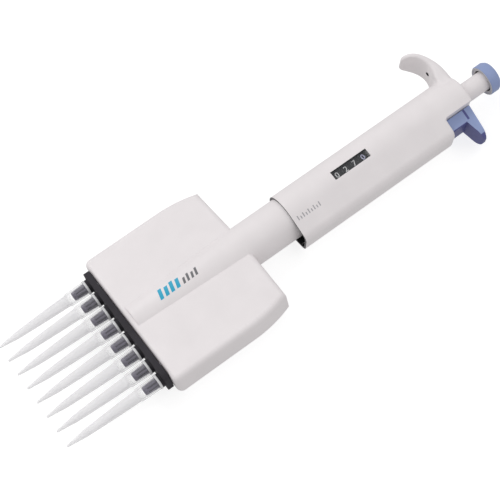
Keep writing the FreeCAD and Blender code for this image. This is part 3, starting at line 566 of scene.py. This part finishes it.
def hook_outline(thickness, half_width):
    """A rounded oblong: (depth from the underside, lift, outward depth, outward lift)."""
    round_off = min(HOOK_CORNER, thickness * 0.48, half_width * 0.9)
    outline = []
    corners = ((thickness - round_off, half_width - round_off, 0.0),
               (round_off, half_width - round_off, 90.0),
               (round_off, round_off - half_width, 180.0),
               (thickness - round_off, round_off - half_width, 270.0))
    for number, (depth, lift, start) in enumerate(corners):
        for step in range(7):
            angle = math.radians(start + 15.0 * step)
            out, up = math.cos(angle), math.sin(angle)
            outline.append((depth + round_off * out, lift + round_off * up, out, up))
        after = corners[(number + 1) % 4]
        last = outline[-1]
        first_angle = math.radians(after[2])
        target = (after[0] + round_off * math.cos(first_angle),
                  after[1] + round_off * math.sin(first_angle))
        for step in range(1, 6):
            share = step / 6.0
            outline.append((last[0] + (target[0] - last[0]) * share,
                            last[1] + (target[1] - last[1]) * share, last[2], last[3]))
    return outline


def hook_rings():
    """The hook's cross-sections from its rounded tip to where it runs out on the handle."""
    rings = []
    for step in range(HOOK_STEPS + 1):
        share = step / HOOK_STEPS
        angle = math.radians(HOOK_TIP_ANGLE * (1.0 - share ** 1.5))
        near, far = along_ray(HOOK_INNER, angle), along_ray(HOOK_OUTER, angle)
        from_tip = (math.radians(HOOK_TIP_ANGLE) - angle) * (near + far) / 2.0
        far -= HOOK_TIP_DROP * max(0.0, 1.0 - from_tip / HOOK_DROP_LENGTH) ** 2
        thickness = (far - near) * max(0.12, rounded_off(from_tip, HOOK_TIP_THINNING))
        narrow = rounded_off(from_tip, HOOK_TIP_NARROWING)
        half_width = HOOK_HALF_WIDTH - HOOK_TIP_LOSS * (1.0 - narrow)
        low = (near + far - thickness) / 2.0
        rings.append([(HOOK_PIVOT[0] + math.cos(angle) * (low + depth),
                       HOOK_PIVOT[1] + math.sin(angle) * (low + depth), lift)
                      for depth, lift, _, _ in hook_outline(thickness, half_width)])
    base = across_at(HOOK_OUTER, HOOK_PIVOT[1]) - across_at(HOOK_INNER, HOOK_PIVOT[1])
    outline = hook_outline(base, HOOK_HALF_WIDTH)
    for step in range(ROOT_STEPS + 1):
        bend = step / ROOT_STEPS
        ring = []
        for depth, lift, out, up in outline:
            surface = math.sqrt(HANDLE_RADIUS ** 2 - lift ** 2)
            top = surface + HOOK_ROOT_FILLET
            near, far = across_at(HOOK_INNER, top), across_at(HOOK_OUTER, top)
            start = Vector((near + depth / base * (far - near), top, lift))
            corner = Vector((start.x, surface, lift))
            slope = Vector((0.0, -lift / HANDLE_RADIUS, surface / HANDLE_RADIUS)) * up
            end = corner + (Vector((min(0.0, out), 0.0, 0.0)) + slope) * HOOK_ROOT_FILLET
            if out > 0.5:
                end = corner + Vector((0.0, -HOOK_ROOT_FILLET * 1.4, 0.0)) + slope
            spot = (start * (1.0 - bend) ** 2 + corner * 2.0 * bend * (1.0 - bend)
                    + end * bend ** 2)
            spot.x = min(spot.x, HANDLE_END + 0.25 * (1.0 - bend) + 0.05)
            if bend == 1.0 and out <= 0.5:
                scale = (HANDLE_RADIUS + 0.02) / math.hypot(spot.y, spot.z)
                spot.y, spot.z = spot.y * scale, spot.z * scale
            ring.append(tuple(spot))
        rings.append(ring)
    rings.append([(min(x, HANDLE_END - 0.6), y * 0.94, z * 0.94) for x, y, z in rings[-1]])
    return rings


def make_hook():
    """The finger hook, which grows out of the handle without an edge, and a dark disc of painted shade in its
    screw's hole.
    """
    rings = hook_rings()
    count = len(rings[0])
    points = [handle_point(*spot) for ring in rings for spot in ring]
    faces = []
    for row in range(len(rings) - 1):
        for here in range(count):
            there = (here + 1) % count
            faces.append((row * count + here, row * count + there,
                          (row + 1) * count + there, (row + 1) * count + here))
    for row in (0, len(rings) - 1):
        middle = Vector((0.0, 0.0, 0.0))
        for here in range(count):
            middle += points[row * count + here] / count
        points.append(middle)
        for here in range(count):
            faces.append((row * count + here, row * count + (here + 1) % count, len(points) - 1))
    add_piece("hook_tongue", mesh_from("hook_tongue", points, faces), "handle",
              [materials["housing"]], ["finger_hook"], smooth=60.0)
    # painted shade: a flat dark disc stands in for the dark depth of the screw's hole
    hole = [(246.56, 0.0), (246.56, HOLE_RADIUS - 0.15), (246.6, HOLE_RADIUS - 0.05),
            (246.75, HOLE_RADIUS), (247.2, HOLE_RADIUS), (247.2, 0.0)]
    mesh = lathe("hook_hole_shade_disc", hole, lambda x, y, z: handle_point(x, HOLE_SIDE + y, z), 40)
    add_piece("hook_hole_shade_disc", mesh, "handle", [materials["shade"]])


# ---------------------------------------------------------------- printed marks


def bent_patch(place, x0, x1, across0, across1, slant, rows=6):
    """A thin printed bar between two stations, bent over the surface that place() gives."""
    points, faces = [], []
    for row in range(rows + 1):
        share = row / rows
        across = across0 + (across1 - across0) * share
        shift = slant * share
        points += [place(x0 + shift, across), place(x1 + shift, across)]
    for row in range(rows):
        here = row * 2
        faces.append((here, here + 1, here + 3, here + 2))
    return points, faces


def printed(name, place, bars, body, finish):
    """One piece from several printed bars."""
    points, faces = [], []
    for bar in bars:
        more, sides = bent_patch(place, *bar)
        faces += [tuple(len(points) + corner for corner in side) for side in sides]
        points += more
    add_piece(name, mesh_from(name, points, faces), body, [finish])


PRINT_LIFT = 0.012
BAND_START = 57.1
BAND_LENGTH = 62.3
BAND_RADIUS = 9.4
NECK_RADIUS = 11.1
FACET_START = (-4.04, 11.72)    # side and lift of the handle's facet where it leaves the round
FACET_END = (-16.5, 7.4)    # and where it ends at the front
STEM_HALF_DEPTH = 6.2


def band_point(x, across):
    """A place just above the head's raised band, across millimetres round from its crest."""
    grown = (x - BAND_START) * (NECK_RADIUS - BAND_RADIUS) / BAND_LENGTH
    radius = BAND_RADIUS + grown + PRINT_LIFT
    angle = across / radius
    return straight_point(x, radius * math.sin(angle), radius * math.cos(angle))


def facet_point(x, across):
    """A place just above the handle's slanted facet on the ejector's side."""
    slope = (FACET_START[1] - FACET_END[1]) / (FACET_START[0] - FACET_END[0])
    lift = FACET_START[1] + (across - FACET_START[0]) * slope + PRINT_LIFT
    return handle_point(x, across, lift)


def make_ejector_groove():
    """A dark blue strip printed on the stem's top: painted shade for the groove between the ejector's stem and its
    thumb pad.
    """
    def top_of_stem(x, across):
        return handle_point(x, across, STEM_HALF_DEPTH + PRINT_LIFT)

    printed("ejector_groove_painted_shade", top_of_stem, [(244.5, 245.7, -13.4, -7.9, 0.6)], "ejector",
            materials["painted_shade_blue"])


def make_marks():
    """A plain striped emblem on the band and a row of scale ticks on the handle."""
    stripes = [(72.0 + 3.1 * number, 73.9 + 3.1 * number, -3.2, 2.3 - 0.7 * (number % 2), 1.3)
               for number in range(4)]
    printed("band_stripes", band_point, stripes, "head", materials["print_cyan"])
    strokes = [(85.0 + 2.3 * number, 86.2 + 2.3 * number, -3.2, -0.2 + 0.8 * (number % 2), 0.9)
               for number in range(4)]
    printed("band_strokes", band_point, strokes, "head", materials["print_grey"])
    ticks = [(146.2 + 1.55 * number, 146.75 + 1.55 * number, -7.4,
              -5.2 if number % 2 == 0 else -6.0, 0.0) for number in range(9)]
    printed("scale_ticks", facet_point, ticks, "handle", materials["print_soft"])


# ---------------------------------------------------------------- the whole

make_camera()
make_studio()
clear_collar(materials["tip"])
dress_nodes()
make_tips()
make_cones()
make_rings()
make_hook()
make_ejector_groove()
make_marks()
